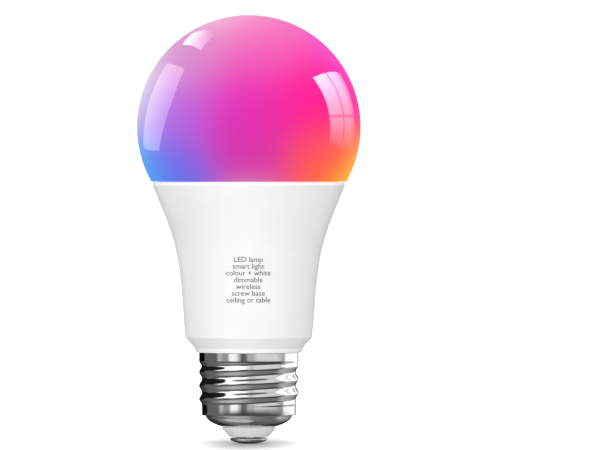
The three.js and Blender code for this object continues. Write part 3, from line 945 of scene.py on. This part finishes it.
def banded_lacquer():
    """Resistor lacquer with its colour rings, about 0.9 mm apart."""
    material, tree, shader = new_material("banded_lacquer", linear("#3f6f5c"), 0.3, ior=1.5)
    place = object_place(tree)
    rings = add_node(
        tree,
        "ShaderNodeTexWave",
        {"wave_type": "BANDS", "bands_direction": "Z", "Scale": 0.35, "Distortion": 0.2},
        {"Vector": place},
    )
    tint(tree, shader, rings.outputs[1], "#3f6f5c", "#a8842a")
    roughen(tree, shader, noise(tree, place, 0.7), 0.25, 0.38)
    bump(tree, shader, noise(tree, place, 1.2), 0.03, 0.3)
    return material


def dipped_blue_lacquer():
    """The dipped coat of a varistor: glossy and thick, with slow runs."""
    return mottled("dipped_blue_lacquer", "#1f5a9b", "#2b6bb2", 0.22, 2.2, 0.08, ior=1.5)[0]


def yellow_film_case():
    """The yellow box of a film capacitor: satin plastic filled with resin."""
    return mottled("yellow_film_case", "#bf981f", "#d0a92e", 0.38, 0.8, 0.01, ior=1.5)[0]


def shrunk_sleeve():
    """The dark shrink sleeve of a can capacitor: satin, a little wrinkled round its ends."""
    along_can = (1.0, 1.0, 0.4)
    return mottled("shrunk_sleeve", "#1e2126", "#2a2e34", 0.32, 1.2, 0.03, ior=1.54, stretch=along_can)[0]


def sintered_ferrite():
    """Sintered ferrite: dark grey, matt and finely pitted."""
    return mottled("sintered_ferrite", "#2f3032", "#434447", 0.65, 0.25, 0.02, ior=1.7)[0]


def black_phenolic():
    """The black phenolic of the bobbin and the header: satin with flow marks."""
    return mottled("black_phenolic", "#1d1e1b", "#292a26", 0.5, 0.9, 0.01, ior=1.6)[0]


def winding_tape():
    """Yellow polyester tape wound over the coil: glossy, with the turns of wire showing as low ridges."""
    material, tree, shader = new_material("winding_tape", linear("#d8b338"), 0.25, ior=1.6)
    place = object_place(tree)
    # The wire is 0.35 mm thick.
    turns = add_node(
        tree,
        "ShaderNodeTexWave",
        {"wave_type": "BANDS", "bands_direction": "Z", "Scale": 0.9, "Distortion": 0.4},
        {"Vector": place},
    )
    tint(tree, shader, noise(tree, place, 2.0), "#cca52e", "#deba42")
    roughen(tree, shader, turns.outputs[1], 0.2, 0.32)
    bump(tree, shader, turns.outputs[1], 0.05, 0.5)
    return material


def tinned_steel():
    """Tinned steel of the radio's shield: satin, with faint spangles."""
    return mottled("tinned_steel", "#b6b9bb", "#c6c9cb", 0.3, 1.0, 0.008, metallic=1.0)[0]


def zinc_plated_steel():
    """Bright zinc on the screws: slightly bluish, with fine tool marks."""
    return mottled("zinc_plated_steel", "#9fa4aa", "#b3b7ba", 0.28, 0.3, 0.01, metallic=1.0)[0]


def wire_jacket(name, dark, light):
    """Silicone wire jacket: satin, with faint extrusion lines along the wire."""
    return mottled(name, dark, light, 0.42, 0.5, 0.02, ior=1.41, stretch=(1.0, 1.0, 0.15))[0]


def moulded_led_package():
    """The white reflector package of an LED: satin and a little chalky."""
    return mottled("moulded_led_package", "#ebe9e2", "#f6f4ee", 0.45, 0.3, 0.008, ior=1.52)[0]


def phosphor_gel(name, dark, light):
    """Phosphor stirred into clear silicone: glossy, grainy in its colour."""
    material, tree, shader = mottled(name, dark, light, 0.2, 0.12, 0.004, ior=1.53)
    shader.inputs["Subsurface Weight"].default_value = 0.2
    shader.inputs["Subsurface Scale"].default_value = 0.3 * MM
    return material


def numbered(stem, count=6):
    """The names of a row of like parts."""
    return [f"{stem}_{number}" for number in range(1, count + 1)]


class BULB_OT_light_engine(bpy.types.Operator):
    """Finishes the heat sink, the LED board, its LEDs and screws, and the bead that seals the dome"""

    bl_idname = "bulb.light_engine"
    bl_label = "Light engine"

    def execute(self, context):
        dress_nodes(cured_silicone(), "dome_seal")
        dress_nodes(drawn_aluminium(), "heat_sink_cup")
        dress_nodes(white_solder_resist(), "led_board")
        dress_nodes(zinc_plated_steel(), *numbered("board_screw", 2))
        dress_nodes(moulded_led_package(), *numbered("colour_led"))
        dress_nodes(phosphor_gel("warm_phosphor_gel", "#e6b23c", "#f6ca58"), *numbered("warm_led"))
        dress_nodes(phosphor_gel("cool_phosphor_gel", "#ecd96c", "#f7ea90"), *numbered("cool_led"))
        return {"FINISHED"}


class BULB_OT_driver(bpy.types.Operator):
    """Finishes the driver board and everything soldered to it"""

    bl_idname = "bulb.driver"
    bl_label = "Driver"

    def execute(self, context):
        dress_nodes(board_resist("green_solder_resist", "#1a5c32", "#2a7a46"), "driver_board")
        dress_nodes(transfer_moulded_epoxy(), "bridge_rectifier", "driver_chip", "supply_chip")
        dress_nodes(banded_lacquer(), "fuse_resistor")
        dress_nodes(dipped_blue_lacquer(), "varistor")
        dress_nodes(yellow_film_case(), "film_capacitor")
        dress_nodes(shrunk_sleeve(), "input_capacitor", "output_capacitor")
        dress_nodes(sintered_ferrite(), "filter_inductor", "transformer_core")
        dress_nodes(black_phenolic(), "transformer_bobbin", "radio_header")
        dress_nodes(winding_tape(), "transformer_winding")
        return {"FINISHED"}


class BULB_OT_radio(bpy.types.Operator):
    """Finishes the radio module and its shield"""

    bl_idname = "bulb.radio"
    bl_label = "Radio module"

    def execute(self, context):
        dress_nodes(board_resist("black_solder_resist", "#15181d", "#262b32"), "radio_board")
        dress_nodes(tinned_steel(), "radio_shield")
        return {"FINISHED"}


class BULB_OT_wires(bpy.types.Operator):
    """Finishes the two mains wires"""

    bl_idname = "bulb.wires"
    bl_label = "Wires"

    def execute(self, context):
        dress_nodes(wire_jacket("red_silicone_jacket", "#a8211a", "#bd2d24"), "live_wire")
        dress_nodes(wire_jacket("white_silicone_jacket", "#dedcd7", "#eae8e3"), "neutral_wire")
        return {"FINISHED"}


# ---------------------------------------------------------------- stage

AIM = Vector((0, 0, 60 * MM))


def lamp(name, place, size, power):
    """A rectangular studio light aimed at the bulb. Only matt surfaces show it."""
    data = bpy.data.lights.new(name, "AREA")
    data.shape = "RECTANGLE"
    data.size, data.size_y = size
    data.energy = power
    light = bpy.data.objects.new(name, data)
    bpy.context.scene.collection.objects.link(light)
    light.location = place
    light.rotation_euler = (AIM - light.location).to_track_quat("-Z", "Y").to_euler()
    light.visible_camera = False
    light.visible_glossy = False


def only_mirrored(piece):
    """Lets a glowing stage piece be seen by mirroring surfaces only."""
    piece.visible_camera = False
    piece.visible_diffuse = False
    piece.visible_shadow = False
    piece.visible_transmission = False
    for material in piece.data.materials:
        material.cycles.emission_sampling = "NONE"


def mirrored_only_by(collection_name, stage_pieces, *piece_names):
    """Lets only the named pieces mirror the stage pieces."""
    mirrors = bpy.data.collections.new(collection_name)
    for name in piece_names:
        mirrors.objects.link(bpy.data.objects[name])
    for stage_piece in stage_pieces:
        stage_piece.light_linking.receiver_collection = mirrors


def glowing_card(name, rows, brightness, *fades):
    """A glowing window pane or softbox through rows of two points each.

    Each fade is an axis, its dark place, its bright place and what is left at the dark one.
    """
    deselect()
    bpy.ops.mesh.primitive_grid_add(x_subdivisions=1, y_subdivisions=len(rows) - 1, size=1)
    card = bpy.context.object
    card.name = name
    places = [place for row in rows for place in row]
    for vertex, place in zip(card.data.vertices, places):
        vertex.co = place
    material = bpy.data.materials.new(name)
    tree = empty_tree(material)
    coordinates = add_node(tree, "ShaderNodeTexCoord")
    split = add_node(tree, "ShaderNodeSeparateXYZ", links={"Vector": coordinates.outputs["Object"]})
    shine = add_node(tree, "ShaderNodeEmission")
    strength = None
    for axis, dark_place, bright_place, rest in fades:
        fade = remap(tree, split.outputs[axis], rest, 1.0, dark_place, bright_place)
        if strength is None:
            strength = fade
        else:
            strength = add_node(
                tree, "ShaderNodeMath", {"operation": "MULTIPLY"}, {0: strength, 1: fade}
            ).outputs[0]
    scaled = add_node(tree, "ShaderNodeMath", {"operation": "MULTIPLY", 1: brightness}, {0: strength})
    tree.links.new(scaled.outputs[0], shine.inputs["Strength"])
    add_node(tree, "ShaderNodeOutputMaterial", links={"Surface": shine.outputs[0]})
    card.data.materials.append(material)
    only_mirrored(card)
    return card


def bearing_share(tree, split):
    """The compass bearing as a share from 0 to 1: 0.5 is the front, and it turns towards +X."""
    back = add_node(tree, "ShaderNodeMath", {"operation": "MULTIPLY", 1: -1.0}, {0: split.outputs["Y"]})
    bearing = add_node(
        tree, "ShaderNodeMath", {"operation": "ARCTAN2"}, {0: split.outputs["X"], 1: back.outputs[0]}
    )
    return remap(tree, bearing.outputs[0], 0.0, 1.0, -math.pi, math.pi)


def brightness_ramp(tree, share, bands):
    """A ramp through pairs of bearing in degrees and brightness."""
    ramp = add_node(tree, "ShaderNodeValToRGB", links={"Fac": share})
    elements = ramp.color_ramp.elements
    while len(elements) < len(bands):
        elements.new(0.5)
    for element, (degrees, value) in zip(elements, bands):
        element.position = (degrees + 180) / 360
        element.color = (value, value, value, 1.0)
    return ramp.outputs[0]


def studio_world():
    """White paper in view, an even soft light on matt surfaces, and a dim room for mirroring ones."""
    world = bpy.data.worlds.new("studio_room")
    bpy.context.scene.world = world
    tree = empty_tree(world)
    coordinates = add_node(tree, "ShaderNodeTexCoord")
    split = add_node(tree, "ShaderNodeSeparateXYZ", links={"Vector": coordinates.outputs["Generated"]})
    room = brightness_ramp(
        tree,
        bearing_share(tree, split),
        [(-180, 0.02), (-150, 0.004), (-60, 0.01), (60, 0.01), (120, 0.04), (150, 0.1), (170, 0.04)],
    )
    rays = add_node(tree, "ShaderNodeLightPath").outputs
    white = (1, 1, 1, 1)
    glossy = add_node(tree, "ShaderNodeBackground", {"Strength": 1.0}, {"Color": room}).outputs[0]
    soft = add_node(tree, "ShaderNodeBackground", {"Color": white, "Strength": 0.34}).outputs[0]
    seen = add_node(tree, "ShaderNodeBackground", {"Color": white, "Strength": 1.05}).outputs[0]
    mirror = add_node(
        tree, "ShaderNodeMixShader", links={0: rays["Is Glossy Ray"], 1: soft, 2: glossy}
    ).outputs[0]
    final = add_node(
        tree, "ShaderNodeMixShader", links={0: rays["Is Camera Ray"], 1: mirror, 2: seen}
    ).outputs[0]
    add_node(tree, "ShaderNodeOutputWorld", links={"Surface": final})


# The cloth panels round the metal base at its own height: what each is, where it starts and ends by
# bearing in degrees from the front, and its brightness. The cloth blends from one to the next.
TENT_PANELS = [
    ("dark behind on the left", (-180, -125), 0.0),
    ("dim on the left", (-120, -80), 0.1),
    ("grey edge on the left", (-72, -68), 0.4),
    ("grey on the left", (-60, -50), 0.25),
    ("white in front on the left", (-42, -30), 0.85),
    ("dark in front", (-16, -8), 0.1),
    ("grey in front", (0, 10), 0.4),
    ("pale on the right", (20, 65), 0.6),
    ("grey on the right", (85, 90), 0.35),
    ("white on the right", (95, 140), 1.0),
    ("dark behind on the right", (165, 180), 0.0),
]

# The same cloth above that height, a little below it and far below it, by bearing and brightness.
TENT_HIGH = [
    (-180, 0.0), (-98, 0.01), (-90, 0.1), (-84, 0.5), (-78, 1.0), (-50, 1.1), (-14, 1.0),
    (2, 0.5), (20, 0.62), (70, 0.56), (80, 0.46), (87, 1.0), (108, 1.0), (114, 0.45), (120, 1.0),
    (134, 1.0), (141, 0.15), (148, 0.9), (158, 0.1), (180, 0.0),
]
TENT_LOW = [
    (-180, 0.0), (-140, 0.04), (-120, 0.1), (-90, 0.1), (-50, 0.07), (-20, 0.05), (10, 0.05), (80, 0.04),
    (104, 0.4), (140, 0.2), (165, 0.0),
]
TENT_DEEP = [
    (-180, 0.1), (-120, 0.2), (-80, 0.28), (-40, 0.36), (-10, 0.28), (20, 0.16), (60, 0.14),
    (100, 0.12), (150, 0.05),
]


def tent_spot(tree, direction, toward, from_edge, to_edge, brightness, below):
    """Lays a round spot of one brightness over the cloth, where it lies toward the given direction."""
    near = add_node(tree, "ShaderNodeVectorMath", {"operation": "DOT_PRODUCT", 1: toward}, {0: direction})
    share = remap(tree, near.outputs["Value"], 0.0, 1.0, from_edge, to_edge, "SMOOTHSTEP")
    settings = {"data_type": "RGBA", 7: (brightness, brightness, brightness, 1.0)}
    return add_node(tree, "ShaderNodeMix", settings, {0: share, 6: below}).outputs[2]


def reflection_tent_cloth(radius, height):
    """Glowing cloth that is bright and dark in turns, and lets through what stands behind it."""
    material = bpy.data.materials.new("reflection_tent_cloth")
    tree = empty_tree(material)
    direction = place_in_radii(tree, height, (radius, radius, radius))
    split = add_node(tree, "ShaderNodeSeparateXYZ", links={"Vector": direction})
    share = bearing_share(tree, split)
    level = [(bearing, brightness) for _, ends, brightness in TENT_PANELS for bearing in ends]
    bands = [brightness_ramp(tree, share, rows) for rows in (level, TENT_HIGH, TENT_LOW, TENT_DEEP)]
    cloth = bands[0]
    for band, (start, end) in zip(bands[1:], ((0.12, 0.22), (-0.08, -0.18), (-0.58, -0.78))):
        amount = remap(tree, split.outputs["Z"], 0.0, 1.0, start, end, "SMOOTHSTEP")
        blend = add_node(tree, "ShaderNodeMix", {"data_type": "RGBA"}, {0: amount, 6: cloth, 7: band})
        cloth = blend.outputs[2]
    # A dark hole overhead splits the highlight of every crest, and reaches far down on the left.
    cloth = tent_spot(tree, direction, (0.0, 0.0, 1.0), 0.785, 0.83, 0.12, cloth)
    cloth = tent_spot(tree, direction, (-0.82, 0.0, 0.57), 0.945, 0.97, 0.01, cloth)
    # A pale spot under the base, a little to the left, lies in the curve of the shell's shoulder.
    cloth = tent_spot(tree, direction, (-0.28, 0.0, -0.96), 0.9, 0.96, 0.42, cloth)
    shine = add_node(tree, "ShaderNodeEmission", {"Strength": 1.7}, {"Color": cloth})
    clear = add_node(tree, "ShaderNodeBsdfTransparent")
    both = add_node(tree, "ShaderNodeAddShader", links={0: shine.outputs[0], 1: clear.outputs[0]})
    add_node(tree, "ShaderNodeOutputMaterial", links={"Surface": both.outputs[0]})
    return material


def backlit_floor_with_painted_shadow():
    """The opal acrylic of a light table: glows evenly, with a painted contact shadow that makes it a little
    less bright in the middle, and a faint grain.
    """
    material, tree, shader = new_material("backlit_floor_with_painted_shadow", tuple(colours().floor), 0.9)
    grain = noise(tree, object_place(tree), 2.5, detail=3.0)
    tint(tree, shader, grain, "#f5f5f5", "#f9f9f9")
    # Painted shadow: the glow is dimmed in an oval round the contact, stretched front to back.
    painted_shadow_oval = object_place(tree, (1.0, 0.27, 1.0))
    distance = add_node(tree, "ShaderNodeVectorMath", {"operation": "LENGTH"}, {0: painted_shadow_oval})
    level = remap(tree, distance.outputs["Value"], 0.0, 1.0, 0.0, 24.0, "SMOOTHSTEP")
    tree.links.new(level, shader.inputs["Emission Strength"])
    shader.inputs["Emission Color"].default_value = (1, 1, 1, 1)
    return material


class BULB_OT_stage(bpy.types.Operator):
    """Sets up the floor, the room, the lights and the camera"""

    bl_idname = "bulb.stage"
    bl_label = "Stage"

    def execute(self, context):
        self.lay_floor()
        studio_world()
        self.hang_lights()
        self.hang_cards()
        self.pitch_tent()
        self.place_camera()
        context.scene.view_settings.view_transform = "Standard"
        return {"FINISHED"}

    def lay_floor(self):
        """A large light table under the contact."""
        deselect()
        bpy.ops.mesh.primitive_plane_add(size=8.0, location=(0, 0, cad_box[0].z))
        floor = bpy.context.object
        floor.name = "light_table"
        bpy.ops.object.transform_apply(location=True, rotation=True, scale=True)
        floor.data.materials.append(backlit_floor_with_painted_shadow())
        floor.visible_diffuse = False
        floor.visible_glossy = False
        floor.visible_shadow = False

    def hang_lights(self):
        """Two large soft lights in front, the stronger on the left, and one behind."""
        lamp("left_fill", (-1.14, -0.84, 0.0), (0.9, 1.2), 14.9)
        lamp("right_fill", (0.85, -0.8, 0.0), (0.6, 0.8), 9.0)
        lamp("back_fill", (0.2, 1.3, 0.3), (0.7, 0.7), 9.0)

    def hang_cards(self):
        """A paned window on the right, a tall softbox on the left and a strip above it.

        Places are across, back and up from the dome's middle, as shares of the distance to the cards.
        """
        centre = dome_top - sizes().dome_radius
        far = 0.5

        def at(x, y, z):
            return (x * far, y * far, centre + z * far)

        cards = self.hang_window(at)
        # The left softbox is bowed forward in the middle of its height.
        near = bezier([at(-1, 0.34, -0.26), at(-1, -0.28, 0.22), at(-1, 0.19, 0.90)], 8)
        deep = bezier([at(-1, 1.41, -0.18), at(-1, 0.45, 0.15), at(-1, 1.19, 0.77)], 8)
        backwards = ("Y", 1.4 * far, 0.3 * far, 0.3)
        cards.append(glowing_card("left_softbox", list(zip(near, deep)), 2.3, backwards))
        strip = [
            (at(-0.34, 0.59, 1.0), at(-0.63, 0.29, 1.0)),
            (at(-0.60, 2.14, 1.0), at(-0.81, 1.41, 1.0)),
        ]
        inwards = ("X", -0.38 * far, -0.75 * far, 0.0)
        cards.append(glowing_card("ceiling_strip", strip, 4.5, inwards))
        mirrored_only_by("dome_mirrors", cards, "dome")

    def hang_window(self, at):
        """Four panes with a dimmer frame behind, brightest at the top and at the near side."""
        near_bottom, near_top = Vector(at(1, 0.02, -0.27)), Vector(at(1, 0.0, 0.77))
        far_bottom, far_top = Vector(at(1, 1.15, -0.21)), Vector(at(1, 1.35, 0.61))

        def on_window(across, up):
            return near_bottom.lerp(far_bottom, across).lerp(near_top.lerp(far_top, across), up)

        post, rail = 0.024, 0.014
        post_across, rail_up = 0.36, 0.385
        columns = [(0.0, post_across - post), (post_across + post, 1.0)]
        rows = [(0.0, rail_up - rail), (rail_up + rail, 1.0)]
        downwards = ("Z", at(0, 0, -0.25)[2], at(0, 0, 0.66)[2], 0.0)
        sideways = ("Y", at(0, 1.2, 0)[1], at(0, 0.1, 0)[1], 0.12)
        behind = Vector((10 * MM, 0, 0))
        frame_rows = [[on_window(across, up) + behind for across in (0.0, 1.0)] for up in (0.0, 1.0)]
        panes = [glowing_card("window_frame", frame_rows, 5.0, downwards, sideways)]
        for column, (start, end) in enumerate(columns):
            for row, (low, high) in enumerate(rows):
                pane = [[on_window(across, up) for across in (start, end)] for up in (low, high)]
                name = f"window_pane_{2 * column + row + 1}"
                panes.append(glowing_card(name, pane, 11.5, downwards, sideways))
        return panes

    def pitch_tent(self):
        """A round tent that only the metal base mirrors."""
        radius = 350 * MM
        height = 15 * MM
        deselect()
        middle = (0, 0, height)
        bpy.ops.mesh.primitive_uv_sphere_add(segments=64, ring_count=32, radius=radius, location=middle)
        tent = bpy.context.object
        tent.name = "reflection_tent"
        bpy.ops.object.transform_apply(location=True, rotation=True, scale=True)
        tent.data.materials.append(reflection_tent_cloth(radius, height))
        only_mirrored(tent)
        mirrored_only_by("metal_mirrors", [tent], "thread_shell", "contact_button")

    def place_camera(self):
        """A long lens at the height of the seam, a little to the right of the bulb."""
        data = bpy.data.cameras.new("camera")
        data.sensor_width = 36.0
        data.lens = 400.0
        data.clip_end = 50.0
        camera = bpy.data.objects.new("camera", data)
        bpy.context.scene.collection.objects.link(camera)
        aside = 13.5 * MM
        camera.location = (aside, -1.76, 69.0 * MM)
        target = Vector((aside, 0.0, 57.7 * MM))
        camera.rotation_euler = (target - camera.location).to_track_quat("-Z", "Y").to_euler()
        bpy.context.scene.camera = camera


# ---------------------------------------------------------------- panel and registration

class BULB_PT_panel(bpy.types.Panel):
    """Lists the pieces of the bulb"""

    bl_idname = "BULB_PT_panel"
    bl_label = "Smart Light Bulb"
    bl_space_type = "VIEW_3D"
    bl_region_type = "UI"
    bl_category = "Bulb"

    def draw(self, context):
        for operator in PIECE_OPERATORS:
            self.layout.operator(operator.bl_idname)


PIECE_OPERATORS = (
    BULB_OT_dome,
    BULB_OT_housing,
    BULB_OT_print,
    BULB_OT_shell,
    BULB_OT_insulator,
    BULB_OT_contact,
    BULB_OT_light_engine,
    BULB_OT_driver,
    BULB_OT_radio,
    BULB_OT_wires,
    BULB_OT_stage,
)

CLASSES = (BulbSizes, BulbColours, *PIECE_OPERATORS, BULB_PT_panel)


def register():
    """Registers the classes and hangs the settings on the scene."""
    for cls in CLASSES:
        bpy.utils.register_class(cls)
    bpy.types.Scene.bulb_sizes = bpy.props.PointerProperty(type=BulbSizes)
    bpy.types.Scene.bulb_colours = bpy.props.PointerProperty(type=BulbColours)


def unregister():
    """Takes the settings and the classes away again."""
    del bpy.types.Scene.bulb_colours
    del bpy.types.Scene.bulb_sizes
    for cls in reversed(CLASSES):
        bpy.utils.unregister_class(cls)


def main():
    """Builds every piece and the stage."""
    register()
    bpy.ops.bulb.dome()
    bpy.ops.bulb.housing()
    bpy.ops.bulb.print()
    bpy.ops.bulb.shell()
    bpy.ops.bulb.insulator()
    bpy.ops.bulb.contact()
    bpy.ops.bulb.light_engine()
    bpy.ops.bulb.driver()
    bpy.ops.bulb.radio()
    bpy.ops.bulb.wires()
    bpy.ops.bulb.stage()


if __name__ == "__main__":
    main()
